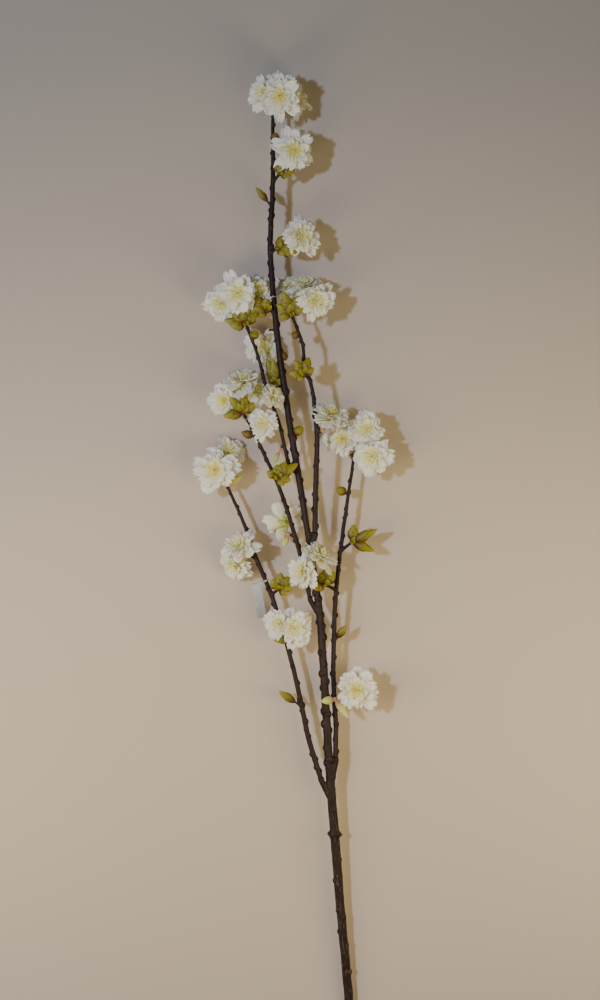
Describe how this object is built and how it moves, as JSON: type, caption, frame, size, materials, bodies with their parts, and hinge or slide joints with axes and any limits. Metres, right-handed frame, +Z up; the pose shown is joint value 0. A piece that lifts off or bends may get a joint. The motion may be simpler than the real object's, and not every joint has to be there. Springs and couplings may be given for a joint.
{
  "type": "artificial cherry blossom sprig",
  "caption": "Cut spray of white double cherry blossom made of fabric petals on a dark branching stem, with olive bud scales, laid flat.",
  "frame": {"origin": "middle of the bounding box's underside, on the surface that the spray lies on", "axes": "+Y along the main stem from its cut end to its tip, +Z up from the surface, +X to the right of the stem as it is seen from above"},
  "size_m": [0.1935, 1.0035, 0.0712],
  "materials": {
    "coated_stem": "dark brown plastic-coated wire stem with moulded bark, knots and buds",
    "moulded_bud": "moulded olive and brown plastic bud scales, pinkish stalks and pale green calyx cups",
    "fabric_petals": "creamy white die-cut polyester cloth petals, tinted yellow-green at the heart",
    "film_label": "blank frosted pale film"
  },
  "bodies": {
    "root": {"main_stem": "coated_stem", "side_branch_lower_left": "coated_stem", "side_branch_lower_right": "coated_stem", "side_branch_middle_left": "coated_stem", "side_branch_middle_right": "coated_stem", "side_branch_upper_left": "coated_stem", "pick_01": "moulded_bud", "pick_02": "moulded_bud", "pick_03": "moulded_bud", "pick_04": "moulded_bud", "pick_05": "moulded_bud", "pick_06": "moulded_bud", "pick_07": "moulded_bud", "pick_08": "moulded_bud", "pick_09": "moulded_bud", "pick_10": "moulded_bud", "pick_11": "moulded_bud", "pick_12": "moulded_bud", "pick_13": "moulded_bud", "pick_14": "moulded_bud", "pick_15": "moulded_bud", "pick_16": "moulded_bud", "pick_17": "moulded_bud", "pick_18": "moulded_bud", "pick_19": "moulded_bud", "pick_20": "moulded_bud", "pick_21": "moulded_bud", "pick_22": "moulded_bud", "blossom_01": "fabric_petals", "blossom_02": "fabric_petals", "blossom_03": "fabric_petals", "blossom_04": "fabric_petals", "blossom_05": "fabric_petals", "blossom_06": "fabric_petals", "blossom_07": "fabric_petals", "blossom_08": "fabric_petals", "blossom_09": "fabric_petals", "blossom_10": "fabric_petals", "blossom_11": "fabric_petals", "blossom_12": "fabric_petals", "blossom_13": "fabric_petals", "blossom_14": "fabric_petals", "blossom_15": "fabric_petals", "blossom_16": "fabric_petals", "blossom_17": "fabric_petals", "blossom_18": "fabric_petals", "blossom_19": "fabric_petals", "blossom_20": "fabric_petals", "blossom_21": "fabric_petals", "blossom_22": "fabric_petals", "blossom_23": "fabric_petals", "blossom_24": "fabric_petals", "blossom_25": "fabric_petals", "blossom_26": "fabric_petals", "blossom_27": "fabric_petals", "blossom_28": "fabric_petals", "blossom_29": "fabric_petals", "blossom_30": "fabric_petals", "blossom_31": "fabric_petals", "label_strip": "film_label"}
  },
  "joints": []
}
